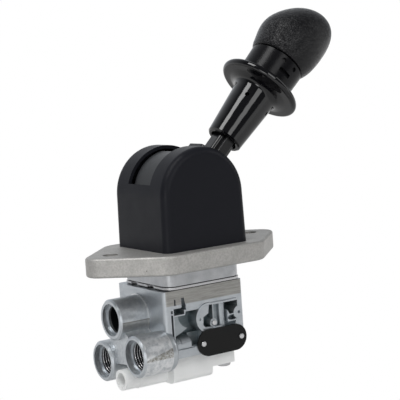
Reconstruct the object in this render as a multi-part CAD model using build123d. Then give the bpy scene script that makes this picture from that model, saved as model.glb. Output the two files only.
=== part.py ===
from build123d import *
import math
import os

# Hand brake valve, millimetres. The origin is the centre of the mounting flange's top face, +Z is up,
# the lever leans towards +X, the air ports point to -X and the id plate faces -Y.

os.makedirs("parts", exist_ok=True)

# Mounting flange and the neck cast under it
flange_length = 120.0
flange_depth = 67.4
flange_thickness = 10.4
flange_tip_radius = 8.93
flange_shoulder_radius = 12.0
flange_edge_radius = 1.4
panel_hole_inset = 14.3
panel_hole_diameter = 8.4
neck_front = 20.4
neck_height = 8.5
neck_corner_radius = 6.0

# Joint between the neck and the valve body
gasket_thickness = 0.5
gasket_inset = 0.7
joint_plate_thickness = 1.2
joint_plate_overhang = 0.3
notch_length = 6.3
notch_places = (13.8, -3.0)
notch_depth = 1.6

# Pivot of the lever and the ears that carry it
pivot_height = 28.0
lever_lean = 45.0
stem_offset = 4.24
lever_travel = 76.0
shaft_diameter = 8.0
shaft_overhang = 2.2
bush_wall = 1.5
bush_flange = 1.0
bush_flange_radius = 7.0
running_clearance = 0.05
ear_inner = 12.8
ear_thickness = 5.0
ear_radius = 9.0
ear_base_half = 11.0

# Moulded cap over the mechanism
cap_screw_room = 1.65
cap_back_room = 0.35
cap_end_room = 4.2
cap_draft = 0.7
cap_wall = 1.9
cap_edge_radius = 4.6
cap_corner_radius = 4.2
slot_width = 22.4
slot_reach = 73.5
slot_right_reach = 77.0
cap_rim_height = 4.0
cap_rim_wall = 2.0
cap_fit = 0.15
hook_width = 8.0
hook_depth = 0.8

# Drum shield that closes the slot under the lever
shield_gap = 0.4
shield_wall = 1.6
shield_width = 16.6
shield_step = 2.2
shield_start = 14.5
shield_left_cover = 6.0
shield_right_cover = 2.0
shield_step_turn = 4.0
shield_rear_turn = 12.0
shield_rail_turn = 22.0
shield_rail_height = 1.5
shield_flange = 1.2
shield_boss_left = 8.8
shield_boss_right = 11.6
shield_boss_depth = 16.0
shield_boss_rise = 1.8
shield_boss_corner = 3.0

# Lever, cam and the parts on the shaft
stem_width = 12.0
stem_depth = 10.0
stem_corner = 2.2
hub_radius = 6.4
fork_gap = 6.2
fork_bridge = 3.0
fork_shoulder_gap = 1.6
stem_shoulder = 60.0
rod_diameter = 10.0
rod_in_knob = 27.0
cam_width = 6.0
cam_pitch_radius = 15.5
cam_rise_per_radian = 3.8
nose_radius = 3.5
cam_clearance = 0.3
drive_pin_diameter = 1.6
clip_thickness = 0.8
clip_groove = 0.7
clip_opening = 3.2
return_wire = 0.6
return_leg = 0.7
return_coil_gap = 1.0
return_side_gap = 0.7
return_turns = 2
hook_clearance = 2.3
hook_gap = 0.1
clip_width = 2.6

# Lock collar, its slider and the detent plate
collar_bottom = 41.0
collar_bottom_radius = 10.3
collar_neck_radius = 12.6
collar_flare_start = 72.3
disc_centre = 79.6
disc_radius = 24.0
disc_edge_radius = 2.2
collar_lift = 5.0
collar_lift_clearance = 0.3
collar_web_bottom = 62.0
collar_web = 3.0
collar_stem_bore = 8.0
collar_spring_bore = 8.4
collar_coil_radius = 6.7
collar_wire = 0.65
dish_depth = 3.0
dish_gap = 0.4
snap_hole_diameter = 2.4
snap_hole_place = 67.3
snap_hole_turn = 43.0
snap_hole_count = 4
slider_width = 6.0
slider_tip_gap = 0.4
slider_thickness = 2.05
slider_gap = 0.15
slider_side_gap = 0.3
slider_end = 57.0
slider_pin_place = 52.0
slider_pin_diameter = 2.4
slider_pin_cover = 1.2
detent_clearance = 2.9
detent_thickness = 2.0
detent_half_width = 8.0
detent_face = 6.0
detent_foot = 5.6
detent_screw_inset = 2.4
detent_screw_radius = 1.5
detent_screw_head = 1.9
detent_screw_depth = 6.0
notch_cut_depth = 3.0

# Knob and the neck under it
neck_ring_height = 15.0
neck_ring_radius = 16.3
neck_ring_draft = 0.4
parting_groove = 0.5
knob_height = 40.6
knob_radius = 19.8
knob_skew = 5.8
index_dot_radius = 1.3
index_dot_drop = 3.6
index_dot_turns = (-110.0, -79.4)
snap_window_turn = -93.5
snap_window_length = 8.0
snap_window_height = 2.4
snap_window_drop = 9.2
mark_depth = 1.2

# Follower, springs and valve train inside the housing
guide_radius = 5.0
guide_boss_radius = 8.5
guide_boss_flat = 5.8
guide_boss_height = 5.0
spring_pocket_radius = 11.0
follower_head_radius = 10.4
follower_head_top = -7.0
follower_head_thickness = 2.5
spring_pocket_roof = -1.5
piston_radius = 12.0
piston_top = -24.0
piston_height = 6.5
piston_cup_depth = 2.0
piston_tube_radius = 2.6
piston_bore_radius = 1.6
seal_section = 1.5
seat_top = -38.0
seat_height = 3.5
seat_radius = 6.5
seat_bore = 4.6
valve_chamber_radius = 8.0
valve_disc_radius = 6.0
valve_disc_height = 2.5
valve_opening = 1.4
valve_stem_radius = 2.8
retainer_radius = 9.0
retainer_height = 6.0
tip_gap = 0.1
graduating_coil_radius = 8.2
graduating_wire = 1.15
valve_coil_radius = 5.2
valve_wire = 0.55

# Valve body casting
body_left = -27.0
body_right = 24.2
body_back = 28.0
body_bottom = -58.0
body_corner_radius = 2.5
port_rim = -44.75
boss_diameter = 22.5
boss_end = -22.5
port_chamfer = 0.9
base_ring_width = 0.8
base_ring_rise = 0.7
thread_diameter = 16.0
thread_depth = 14.0
counterbore_diameter = 18.4
counterbore_depth = 4.0
supply_bore_diameter = 14.7
supply_counterbore_diameter = 17.6
supply_counterbore_depth = 3.0
supply_depth = 21.0
upper_port = (7.07, -36.4)
front_port = (-15.53, -53.3)
rear_port = (19.56, -61.0)
rear_boss_end = -4.0
web_setback = 2.7
web_outline = ((8.0, -33.9), (-13.0, -50.4), (-2.0, -60.0), (19.0, -62.0))
rear_cores = ((-20.0, -3.0), (1.0, 20.0))
rear_core_rows = (-52.0, -27.0)
rear_core_depth = 5.0
rear_core_corner = 2.5
side_cores = ((-14.0, 4.0), (8.0, 26.0))
side_core_rows = (-50.0, -30.0)
side_core_depth = 2.5
recess_depth = 0.8
recess_left = -21.5
recess_top = -30.6
recess_bottom = -53.2
recess_outline = ((-14.0, -35.3), (-13.5, -33.4), (-4.5, -33.4), (-4.5, -52.8))
shelf_edge = ((-17.4, -35.2), (-16.7, -38.4), (-15.0, -41.0), (-11.8, -42.9))
shelf_foot = ((-16.4, -45.2), (-19.1, -46.3))
tray_top = -46.0
slot_span = (-16.4, -14.5)
slot_top = -25.5
ramp_outline = ((-14.6, -26.8), (-12.9, -32.4), (-14.6, -32.4))
nick_span = (-20.9, -20.0)
nick_rows = (-29.2, -25.8)
nick_depth = 2.5
groove_span = (-23.3, -22.1)
groove_rows = (-46.2, -33.9)
groove_nick_rows = (-33.2, -31.6)
corner_rows = (-34.6, -31.0)
seam_width = 0.3
seam_depth = 0.4
seam_place = -17.5
bottom_seam_end = -9.6
pocket_depth = 7.4
cavity_outline = ((-1.6, -44.2), (-2.8, -42.6), (-2.4, -38.4), (0.9, -36.8), (1.6, -32.3))
cavity_bottom = -44.6
lens_place = (16.4, -41.3)
lens_size = (3.4, 1.5)
lower_window = ((-43.4, 18.4), (-45.6, 17.6))
pocket_top = -32.3
pocket_bottom = -45.6
kidney_depth = 11.0
kidney_left = 12.9
kidney_right = 19.8
kidney_bottom = -39.3
lobe_radius = 3.6
left_lobe = (-4.6, -39.4)
right_lobe = (20.6, -39.2)
lobe_hole_radius = 0.8
ring_radius = 8.1
ring_centre = (0.5, -39.0)
ring_wall = 1.0
ring_lip = 0.8
corner_depth = 8.4
shelf_depth = 3.0
tray_depth = 5.0
core_bulge_radius = 6.6
core_bulge_end = -11.2
slot_depth = 8.8
groove_depth = 6.0
pocket_rib = (4.2, 4.9)
pocket_web_depth = 4.0
column_place = 10.8
column_radius = 2.1
column_depth = 1.5
cavity_pin_radius = 1.6
cavity_pin_boss_depth = 1.4
cavity_pin_place = (4.4, -42.6)

# Silencer under the body
silencer_bottom = -74.0
silencer_tube_radius = 5.7
silencer_wall = 1.6
silencer_trough_start = -19.0
silencer_trough_end = 6.5
silencer_half_depth = 12.0
silencer_back = 5.5
silencer_ear_back = 2.5
silencer_sleeve_end = -36.0
silencer_sleeve_rise = 0.5
silencer_screw_depth = 6.0
silencer_screw_radius = 1.6
silencer_head_radius = 4.0
silencer_head_height = 2.2
rivet_depth = 3.0
drill_start = -28.0
drill_radius = 2.5
drill_inner = -3.0
drill_height = 6.5
silencer_ear_end = 22.6
silencer_ear_height = 10.6
silencer_screw_place = (17.2, -7.0)

# Small parts
plate_centre = (8.05, -52.6)
plate_length = 32.2
plate_height = 14.5
plate_thickness = 0.9
rivet_spacing = 25.1
rivet_radius = 1.55
screw_ear_gap = 1.6
screw_side_inset = 7.2
screw_front_inset = 7.9
screw_back_inset = 8.7
screw_radius = 2.5
screw_head_radius = 4.2
screw_head_height = 3.6
screw_grip = 9.0

# Places worked out from the sizes above
ear_outer = ear_inner + ear_thickness
cap_half_depth = ear_outer + shaft_overhang + cap_end_room + cap_wall
cap_rim_inner_y = cap_half_depth - cap_wall - cap_fit - cap_rim_wall
screw_back_row = cap_rim_inner_y - cap_back_room - screw_head_radius
neck_back = screw_back_row + screw_back_inset
panel_hole_spacing = flange_length - 2 * panel_hole_inset
screw_x = ear_base_half + screw_head_radius + screw_ear_gap
neck_half_width = screw_x + screw_side_inset
body_front = -neck_front
neck_bottom = -flange_thickness - neck_height
plate_top = neck_bottom - gasket_thickness
plate_bottom = plate_top - joint_plate_thickness
body_top = plate_bottom - gasket_thickness
rim_inner_x = screw_x + screw_head_radius + cap_screw_room
cap_half = rim_inner_x + cap_rim_wall + cap_fit + cap_wall
cap_radius = cap_half - cap_draft
shield_radius = cap_radius - cap_wall - shield_gap
shield_floor = shield_radius - shield_step - shield_wall
hook_height = shield_floor - hook_clearance
fork_top = hook_height - fork_shoulder_gap
fork_depth = fork_top - fork_bridge
detent_radius = shield_floor - detent_clearance
slider_tip = detent_radius + slider_tip_gap
shield_left_end = slot_reach + shield_left_cover
shield_right_end = -(slot_right_reach + lever_travel + shield_right_cover)
screw_rows = (screw_front_inset - neck_front, screw_back_row)
screw_places = [(x, y) for y in screw_rows for x in (-screw_x, screw_x)]
detent_foot_half = ear_base_half
detent_screw_x = detent_foot_half - detent_screw_inset
shaft_radius = shaft_diameter / 2
bush_radius = shaft_radius + running_clearance
bush_outer = bush_radius + bush_wall
boss_radius = boss_diameter / 2
seat_bottom = seat_top - seat_height
piston_bottom = piston_top - piston_height
valve_top = seat_bottom - valve_opening
chamber_bottom = body_bottom + retainer_height
nose_height = pivot_height - cam_pitch_radius
silencer_ear_bottom = body_bottom - silencer_ear_height
disc_top = disc_centre + disc_edge_radius - 0.2
dish_floor = disc_top - dish_depth
neck_ring_bottom = dish_floor + collar_lift + collar_lift_clearance
knob_parting = neck_ring_bottom + neck_ring_height
rod_end = knob_parting + rod_in_knob
head_bottom = follower_head_top - follower_head_thickness


def block(x0, x1, y0, y1, z0, z1):
    """A box between two corners."""
    return Pos((x0 + x1) / 2, (y0 + y1) / 2, (z0 + z1) / 2) * Box(x1 - x0, y1 - y0, z1 - z0)


def round_x(x0, x1, y, z, radius):
    """A cylinder along X."""
    return Pos((x0 + x1) / 2, y, z) * Rot(0, 90, 0) * Cylinder(radius, x1 - x0)


def round_y(y0, y1, x, z, radius):
    """A cylinder along Y."""
    return Pos(x, (y0 + y1) / 2, z) * Rot(90, 0, 0) * Cylinder(radius, y1 - y0)


def round_z(z0, z1, x, y, radius):
    """A cylinder along Z."""
    return Pos(x, y, (z0 + z1) / 2) * Cylinder(radius, z1 - z0)


def polar(radius, angle):
    """A point round the pivot, its angle in degrees from straight up towards -X."""
    turn = math.radians(angle)
    return (-radius * math.sin(turn), radius * math.cos(turn))


def side_profile(face, y0, y1):
    """A face drawn in X and Z, drawn out along Y."""
    return Pos(0, y1, 0) * extrude(Plane.XZ * face, y1 - y0, dir=(0, -1, 0))


def arc_band(inner, outer, start, end, half_width):
    """A curved strip round the pivot, between two angles."""
    middle = (start + end) / 2
    edges = [
        ThreePointArc(polar(outer, start), polar(outer, middle), polar(outer, end)),
        Line(polar(outer, end), polar(inner, end)),
        ThreePointArc(polar(inner, end), polar(inner, middle), polar(inner, start)),
        Line(polar(inner, start), polar(outer, start)),
    ]
    return Pos(0, 0, pivot_height) * side_profile(make_face(edges), -half_width, half_width)


def on_lever(solid):
    """Turn a solid drawn along +Z from the pivot to where the lever points."""
    return Pos(0, 0, pivot_height) * Rot(0, lever_lean, 0) * solid


def on_stem(solid):
    """Place a solid on the stem, whose axis passes beside the pivot."""
    return on_lever(Pos(stem_offset, 0, 0) * solid)


def turned(points):
    """Revolve a closed outline of radius and height round Z."""
    return revolve(Plane.XZ * make_face(Polyline(*points, close=True)), Axis.Z)


def coil(radius, wire, bottom, top, turns):
    """A compression spring of round wire between two seats."""
    path = Helix((top - bottom - 2 * wire) / turns, top - bottom - 2 * wire, radius)
    section = Plane(origin=path @ 0, z_dir=path % 0) * RegularPolygon(wire, 6)
    return Pos(0, 0, bottom + wire) * sweep(section, path, is_frenet=True)


def rounded_block(x0, x1, y0, y1, z0, z1, radius):
    """A box with its upright corners rounded."""
    solid = block(x0, x1, y0, y1, z0, z1)
    return fillet(solid.edges().filter_by(Axis.Z), radius)


def flange_plate():
    """The diamond-ended flange with two panel holes."""
    half_depth = flange_depth / 2
    apex = flange_length / 2 + flange_tip_radius * (math.sqrt(2) - 1)
    straight = apex - half_depth
    outline = Polygon(
        (straight, half_depth), (-straight, half_depth), (-apex, 0),
        (-straight, -half_depth), (straight, -half_depth), (apex, 0), align=None)
    tips = [v for v in outline.vertices() if abs(v.Y) < half_depth / 2]
    outline = fillet(tips, flange_tip_radius)
    shoulders = [v for v in outline.vertices() if abs(abs(v.Y) - half_depth) < 0.01]
    outline = fillet(shoulders, flange_shoulder_radius)
    plate = Pos(0, 0, -flange_thickness) * extrude(outline, flange_thickness)
    rim = plate.edges().filter_by(lambda e: abs(e.center().Z) < 0.01)
    rim += plate.edges().filter_by(lambda e: abs(e.center().Z + flange_thickness) < 0.01)
    return fillet(rim, flange_edge_radius)


def ear(side):
    """One bearing ear that stands on the flange."""
    face = Polygon(
        (-ear_base_half, -1), (ear_base_half, -1),
        (ear_radius * 0.99, pivot_height - 2), (-ear_radius * 0.99, pivot_height - 2), align=None)
    face += Pos(0, pivot_height) * Circle(ear_radius)
    y0, y1 = sorted((side * ear_inner, side * ear_outer))
    return side_profile(face, y0, y1)


def mounting_flange():
    """Sand-cast flange, neck, bearing ears and follower guide in one piece."""
    body = flange_plate()
    body += rounded_block(-neck_half_width, neck_half_width, -neck_front, neck_back,
                          neck_bottom, -flange_thickness + 1, neck_corner_radius)
    for side in (-1, 1):
        body += ear(side)
    guide = round_z(-1, guide_boss_height, 0, 0, guide_boss_radius)
    guide &= block(-guide_boss_radius, guide_boss_radius, -guide_boss_flat, guide_boss_flat,
                   -1, guide_boss_height)
    body += guide
    rim_x = cap_half - cap_wall - cap_fit
    rim_y = cap_half_depth - cap_wall - cap_fit
    rim = rounded_block(-rim_x, rim_x, -rim_y, rim_y, -1, cap_rim_height, cap_corner_radius)
    rim -= block(-rim_x + cap_rim_wall, rim_x - cap_rim_wall, -rim_y + cap_rim_wall,
                 rim_y - cap_rim_wall, -1, cap_rim_height)
    window = hook_width / 2 + 0.5
    for side in (-1, 1):
        x0, x1 = sorted((side * (rim_x - cap_rim_wall - 1), side * (rim_x + 1)))
        rim -= block(x0, x1, -window, window, 0, cap_rim_height / 2 + 0.4)
    body += rim
    for side in (-1, 1):
        body -= round_z(-flange_thickness, 1, side * panel_hole_spacing / 2, 0, panel_hole_diameter / 2)
    body -= round_z(neck_bottom, spring_pocket_roof, 0, 0, spring_pocket_radius)
    body -= round_z(spring_pocket_roof, guide_boss_height, 0, 0, guide_radius + running_clearance)
    body -= round_y(-ear_outer - 1, ear_outer + 1, 0, pivot_height, bush_outer)
    for x, y in screw_places:
        body -= round_z(neck_bottom, 1, x, y, screw_radius)
    for side in (-1, 1):
        body -= round_z(-detent_screw_depth, 1, side * detent_screw_x, detent_screw_y(), detent_screw_radius)
    return body


def detent_screw_y():
    """The row of small screws through the foot of the detent plate."""
    return -(detent_face + detent_thickness + (detent_foot - detent_thickness) / 2 + 0.2)


def shaft_bush(side):
    """Flanged plain bearing in one ear."""
    length = ear_thickness
    sleeve = round_z(0, length, 0, 0, bush_outer) + round_z(-bush_flange, 0, 0, 0, bush_flange_radius)
    sleeve -= round_z(-bush_flange - 1, length + 1, 0, 0, bush_radius)
    turn = Rot(-90, 0, 0) if side > 0 else Rot(90, 0, 0)
    return Pos(0, side * ear_inner, pivot_height) * turn * sleeve


def cap():
    """Moulded cover: arched top, flat ends and an arched slot for the lever."""
    def arch(half, radius, y_half):
        base = Polyline((radius, pivot_height), (half, 0), (-half, 0), (-radius, pivot_height))
        crown = ThreePointArc((-radius, pivot_height), (0, pivot_height + radius), (radius, pivot_height))
        return side_profile(make_face([*base.edges(), crown]), -y_half, y_half)

    shell = arch(cap_half, cap_radius, cap_half_depth)
    ends = shell.edges().filter_by(lambda e: abs(abs(e.center().Y) - cap_half_depth) < 0.01
                                   and e.center().Z > 1)
    shell = fillet(ends, cap_edge_radius)
    shell -= arch(cap_half - cap_wall, cap_radius - cap_wall, cap_half_depth - cap_wall)
    inner_reach = cap_radius - cap_wall - 1.5
    shell -= arc_band(inner_reach, cap_radius + 2, -slot_right_reach, slot_reach, slot_width / 2)
    hook_x = cap_half - cap_wall
    for side in (-1, 1):
        x0, x1 = sorted((side * (hook_x - hook_depth), side * (hook_x + 0.5)))
        shell += block(x0, x1, -hook_width / 2, hook_width / 2, 0.2, cap_rim_height / 2)
    return shell


def cam_outline():
    """Spiral flank that lets the follower rise evenly, closed by the round of the hub."""
    reach = nose_radius + cam_clearance
    flank = []
    for step in range(-2, 11):
        angle = math.pi - math.radians(lever_travel + 6) * step / 10
        pitch = cam_pitch_radius - cam_rise_per_radian * (math.pi - angle)
        size = math.hypot(pitch, cam_rise_per_radian)
        out = (-math.sin(angle), math.cos(angle))
        along = (-math.cos(angle), -math.sin(angle))
        normal = [(pitch * o - cam_rise_per_radian * a) / size for o, a in zip(out, along)]
        flank.append(tuple(pitch * o - reach * n for o, n in zip(out, normal)))
    return flank


def cam():
    """Cam plate between the fork's cheeks."""
    flank = cam_outline()
    nose = Spline(*flank)
    back = Polyline(flank[-1], (-hub_radius * 0.3, hub_radius * 0.6),
                    (hub_radius * 0.9, -hub_radius * 0.4), flank[0])
    face = make_face([nose, *back.edges()])
    face += Circle(hub_radius - 0.2)
    plate = Pos(0, 0, pivot_height) * side_profile(face, -cam_width / 2, cam_width / 2)
    return plate - round_y(-cam_width, cam_width, 0, pivot_height, shaft_radius)


def lever_arm():
    """Forged lever: fork round the cam, square stem and round rod in one piece."""
    half = stem_width / 2
    stem = rounded_block(stem_offset - half, stem_offset + half, -stem_depth / 2, stem_depth / 2,
                         fork_top - 1, stem_shoulder, stem_corner)
    cheek = Polygon((-hub_radius + 0.1, 0), (hub_radius - 0.1, 0), (stem_offset + half, fork_top),
                    (stem_offset - half, fork_top), align=None)
    stem += side_profile(cheek, -stem_depth / 2, stem_depth / 2)
    stem += round_y(-stem_depth / 2, stem_depth / 2, 0, 0, hub_radius)
    stem += round_z(stem_shoulder - 1, rod_end, stem_offset, 0, rod_diameter / 2)
    stem -= block(-stem_width, stem_width, -fork_gap / 2, fork_gap / 2, -hub_radius - 1, fork_depth)
    stem -= round_y(-stem_depth, stem_depth, 0, 0, shaft_radius)
    pin_y = (stem_depth + fork_gap) / 4
    stem -= round_x(-stem_width, stem_width, pin_y, 0, drive_pin_diameter / 2)
    return on_lever(stem)


def lever_shaft():
    """Pivot shaft with a groove for a clip near each end."""
    half = ear_outer + shaft_overhang
    shaft = round_y(-half, half, 0, pivot_height, shaft_radius)
    for side in (-1, 1):
        y0, y1 = clip_span(side)
        groove = round_y(y0, y1, 0, pivot_height, shaft_radius + 1)
        groove -= round_y(y0, y1, 0, pivot_height, shaft_radius - clip_groove)
        shaft -= groove
    pin_y = (stem_depth + fork_gap) / 4
    shaft -= on_lever(round_x(-stem_width, stem_width, pin_y, 0, drive_pin_diameter / 2))
    return chamfer(shaft.edges().filter_by(lambda e: abs(abs(e.center().Y) - half) < 0.01), 0.6)


def clip_span(side):
    """Where a shaft clip lies along Y, just outside its ear."""
    near = ear_outer + 0.4
    return tuple(sorted((side * near, side * (near + clip_thickness))))


def shaft_clips():
    """Two open spring clips in the shaft's grooves."""
    clips = []
    for side in (-1, 1):
        y0, y1 = clip_span(side)
        ring = round_y(y0, y1, 0, pivot_height, shaft_radius - clip_groove + clip_width)
        ring -= round_y(y0, y1, 0, pivot_height, shaft_radius - clip_groove)
        ring -= block(-clip_opening / 2, clip_opening / 2, y0, y1, pivot_height,
                      pivot_height + shaft_radius + clip_width)
        clips.append(ring)
    return clips


def drive_pin():
    """Pin through the fork's cheek and the shaft."""
    pin_y = (stem_depth + fork_gap) / 4
    return on_lever(round_x(-hub_radius + 0.2, hub_radius - 0.2, pin_y, 0, drive_pin_diameter / 2))


def drum_shield():
    """Moulded drum that turns with the lever and keeps the slot closed."""
    outer = shield_radius
    inner = shield_radius - shield_wall
    half = shield_width / 2
    floor_outer = outer - shield_step
    floor_inner = shield_floor
    drum = arc_band(inner, outer, shield_start, shield_left_end, half)
    drum += arc_band(floor_inner, outer, shield_start - shield_step_turn, shield_start, half)
    drum += arc_band(floor_inner, floor_outer, -lever_lean, shield_start - 1, half)
    drum += arc_band(inner, outer, shield_right_end, -lever_lean - shield_rear_turn, half)
    boss = rounded_block(-shield_boss_left, shield_boss_right, -shield_boss_depth / 2, shield_boss_depth / 2,
                         floor_inner, cap_radius + shield_boss_rise, shield_boss_corner)
    drum += on_lever(boss)
    for start, end in ((shield_start, shield_left_end), (shield_right_end, -lever_lean - shield_rail_turn)):
        rails = arc_band(inner - shield_rail_height, inner + 0.1, start, end, half)
        rails -= arc_band(inner - shield_rail_height - 1, inner + 0.2, start - 2, end + 2, half - shield_flange)
        drum += rails
    drum -= on_stem(rounded_block(-stem_width / 2, stem_width / 2, -stem_depth / 2, stem_depth / 2,
                                  floor_inner - 5, cap_radius + 5, stem_corner))
    clear = slider_width / 2 + slider_side_gap
    slider_outer = stem_depth / 2 + slider_gap + slider_thickness + slider_side_gap
    drum -= on_stem(block(-clear, clear, -slider_outer, 0, floor_inner - 5, cap_radius + 5))
    return drum


def detent_plate():
    """Steel plate beside the fork, with the notch that the slider finds when parked."""
    y1 = -detent_face
    y0 = y1 - detent_thickness
    face = Pos(0, pivot_height) * Circle(detent_radius)
    face += Pos(0, pivot_height / 2) * Rectangle(2 * detent_half_width, pivot_height)
    plate = side_profile(face, y0, y1)
    plate += block(-detent_foot_half, detent_foot_half, y1 - detent_foot, y1, 0, detent_thickness)
    plate -= round_y(y0 - 1, y1 + 1, 0, pivot_height, shaft_radius + 0.6)
    park = lever_lean - lever_travel
    half = slider_width / 2 + slider_side_gap
    cut = block(stem_offset - half, stem_offset + half, y0 - 1, y1 + 1,
                detent_radius - notch_cut_depth, detent_radius + 2)
    plate -= Pos(0, 0, pivot_height) * Rot(0, park, 0) * cut
    for side in (-1, 1):
        plate -= round_z(-1, detent_thickness + 1, side * detent_screw_x, detent_screw_y(), detent_screw_radius)
    return plate


def detent_screws():
    """Two small screws that hold the detent plate's foot down."""
    screws = []
    for side in (-1, 1):
        x = side * detent_screw_x
        screw = round_z(-detent_screw_depth, detent_thickness, x, detent_screw_y(), detent_screw_radius)
        screw += round_z(detent_thickness, detent_thickness + 1.5, x, detent_screw_y(), detent_screw_head)
        screw -= block(x - 0.3, x + 0.3, detent_screw_y() - 2, detent_screw_y() + 2,
                       detent_thickness + 0.9, detent_thickness + 2)
        screws.append(screw)
    return screws


def lock_collar():
    """Turned and moulded sleeve with the finger disc that is pulled up to unlock the lever."""
    under = disc_centre - disc_edge_radius
    top = disc_top
    rim_x = disc_radius - disc_edge_radius
    dish = neck_ring_radius + dish_gap
    outline = [
        Line((collar_stem_bore, collar_bottom), (collar_bottom_radius - 0.8, collar_bottom)),
        Line((collar_bottom_radius - 0.8, collar_bottom), (collar_bottom_radius, collar_bottom + 0.8)),
        Line((collar_bottom_radius, collar_bottom + 0.8), (collar_neck_radius, collar_flare_start)),
        Spline((collar_neck_radius, collar_flare_start), (collar_neck_radius + 1.3, under - 2.0),
               (collar_neck_radius + 4.6, under - 0.5), (rim_x, under),
               tangents=((0.06, 1), (1, 0.05))),
        ThreePointArc((rim_x, under), (disc_radius, disc_centre - 0.1), (rim_x, top)),
        Line((rim_x, top), (dish, top)),
        Line((dish, top), (dish, dish_floor)),
        Line((dish, dish_floor), (collar_spring_bore, dish_floor)),
        Line((collar_spring_bore, dish_floor), (collar_spring_bore, collar_web_bottom + collar_web)),
        Line((collar_spring_bore, collar_web_bottom + collar_web),
             (rod_diameter / 2 + running_clearance, collar_web_bottom + collar_web)),
        Line((rod_diameter / 2 + running_clearance, collar_web_bottom + collar_web),
             (rod_diameter / 2 + running_clearance, collar_web_bottom)),
        Line((rod_diameter / 2 + running_clearance, collar_web_bottom), (collar_stem_bore, collar_web_bottom)),
        Line((collar_stem_bore, collar_web_bottom), (collar_stem_bore, collar_bottom)),
    ]
    collar = revolve(Plane.XZ * make_face(outline), Axis.Z)
    hole = round_x(collar_spring_bore - 1, collar_neck_radius + 2, 0, snap_hole_place, snap_hole_diameter / 2)
    for step in range(snap_hole_count):
        collar -= Rot(0, 0, snap_hole_turn + step * 360 / snap_hole_count) * hole
    collar -= round_y(-slider_pin_reach(), 0, 0, slider_pin_place, slider_pin_diameter / 2)
    return on_stem(collar)


def lock_slider():
    """Flat bar that rides on the stem and drops into the detent notch."""
    near = -stem_depth / 2 - slider_gap
    bar = block(-slider_width / 2, slider_width / 2, near - slider_thickness, near, slider_tip, slider_end)
    outer = bar.edges().filter_by(Axis.Z).sort_by(Axis.Y)[:2]
    bar = fillet(outer, 0.7)
    bar -= round_y(-collar_neck_radius, 0, 0, slider_pin_place, slider_pin_diameter / 2)
    return on_stem(bar)


def slider_pin_reach():
    """How far from the stem's axis the blind hole for the slider's pin goes into the sleeve."""
    share = (slider_pin_place - collar_bottom) / (collar_flare_start - collar_bottom)
    wall = collar_bottom_radius + share * (collar_neck_radius - collar_bottom_radius)
    return wall - slider_pin_cover


def slider_pin():
    """Cross pin that ties the slider to the collar."""
    near = -stem_depth / 2 - slider_gap
    return on_stem(round_y(-slider_pin_reach(), near, 0, slider_pin_place, slider_pin_diameter / 2))


def knob_neck():
    """Moulded ring under the knob, with the knob's two index dots and snap window."""
    low = neck_ring_radius - neck_ring_draft
    top = knob_parting - parting_groove
    ring = turned([
        (rod_diameter / 2, neck_ring_bottom), (low - 0.6, neck_ring_bottom), (low, neck_ring_bottom + 0.6),
        (neck_ring_radius, top - 0.3), (neck_ring_radius - 0.4, top), (neck_ring_radius - 2.0, top),
        (neck_ring_radius - 2.0, knob_parting), (rod_diameter / 2, knob_parting)])
    floor = neck_ring_radius - mark_depth
    dot = round_x(floor, neck_ring_radius + 1, 0, knob_parting - index_dot_drop, index_dot_radius)
    for angle in index_dot_turns:
        ring -= Rot(0, 0, angle) * dot
    window_low = knob_parting - snap_window_drop - snap_window_height / 2
    window = block(floor - 1, neck_ring_radius + 1, -snap_window_length / 2, snap_window_length / 2,
                   window_low, window_low + snap_window_height)
    ring -= Rot(0, 0, snap_window_turn) * window
    return on_stem(ring)


def knob():
    """Moulded grip whose crown is set to one side."""
    heights = (0.0, 0.11, 0.27, 0.42, 0.55, 0.69, 0.81, 0.90, 0.965, 1.0)
    spread = (0.823, 0.92, 0.99, 1.0, 0.955, 0.855, 0.715, 0.545, 0.34, 0.13)
    skew = (0.0, 0.0, 0.0, 0.03, 0.19, 0.44, 0.67, 0.85, 0.96, 1.0)
    sections = []
    for height, size, shift in zip(heights, spread, skew):
        place = Plane(origin=(shift * knob_skew, 0, knob_parting + height * knob_height))
        sections.append(place * Circle(size * knob_radius))
    grip = loft(sections)
    grip -= round_z(knob_parting - 1, rod_end + 0.5, 0, 0, rod_diameter / 2)
    return on_stem(grip)


def cam_follower():
    """Plunger with a rounded nose under the cam and a spring head below the flange."""
    plunger = round_z(follower_head_top, nose_height - nose_radius, 0, 0, guide_radius)
    plunger += round_z(head_bottom, follower_head_top, 0, 0, follower_head_radius)
    plunger += block(-nose_radius, nose_radius, -cam_width / 2, cam_width / 2,
                     nose_height - nose_radius - 1, nose_height)
    plunger += round_y(-cam_width / 2, cam_width / 2, 0, nose_height, nose_radius)
    return plunger


def joint_layer(z0, z1, overhang, notched):
    """A flat layer between neck and body, with the spring bore and the screw holes."""
    layer = rounded_block(-neck_half_width - overhang, neck_half_width + overhang,
                          -neck_front - overhang, neck_back + overhang, z0, z1, neck_corner_radius)
    layer -= round_z(z0 - 1, z1 + 1, 0, 0, spring_pocket_radius)
    for x, y in screw_places:
        layer -= round_z(z0 - 1, z1 + 1, x, y, screw_radius)
    if notched:
        for y in notch_places:
            layer -= block(-neck_half_width - 2, -neck_half_width + notch_depth,
                           y - notch_length / 2, y + notch_length / 2, z0 - 1, z1 + 1)
    return layer


def housing_screws():
    """Four socket screws from inside the cap through flange, neck and joint into the body."""
    screws = []
    for x, y in screw_places:
        screw = round_z(body_top - screw_grip, 0, x, y, screw_radius)
        screw += round_z(0, screw_head_height, x, y, screw_head_radius)
        socket = Pos(x, y, screw_head_height - 2) * extrude(RegularPolygon(2.3, 6), 3)
        screws.append(screw - socket)
    return screws


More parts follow.
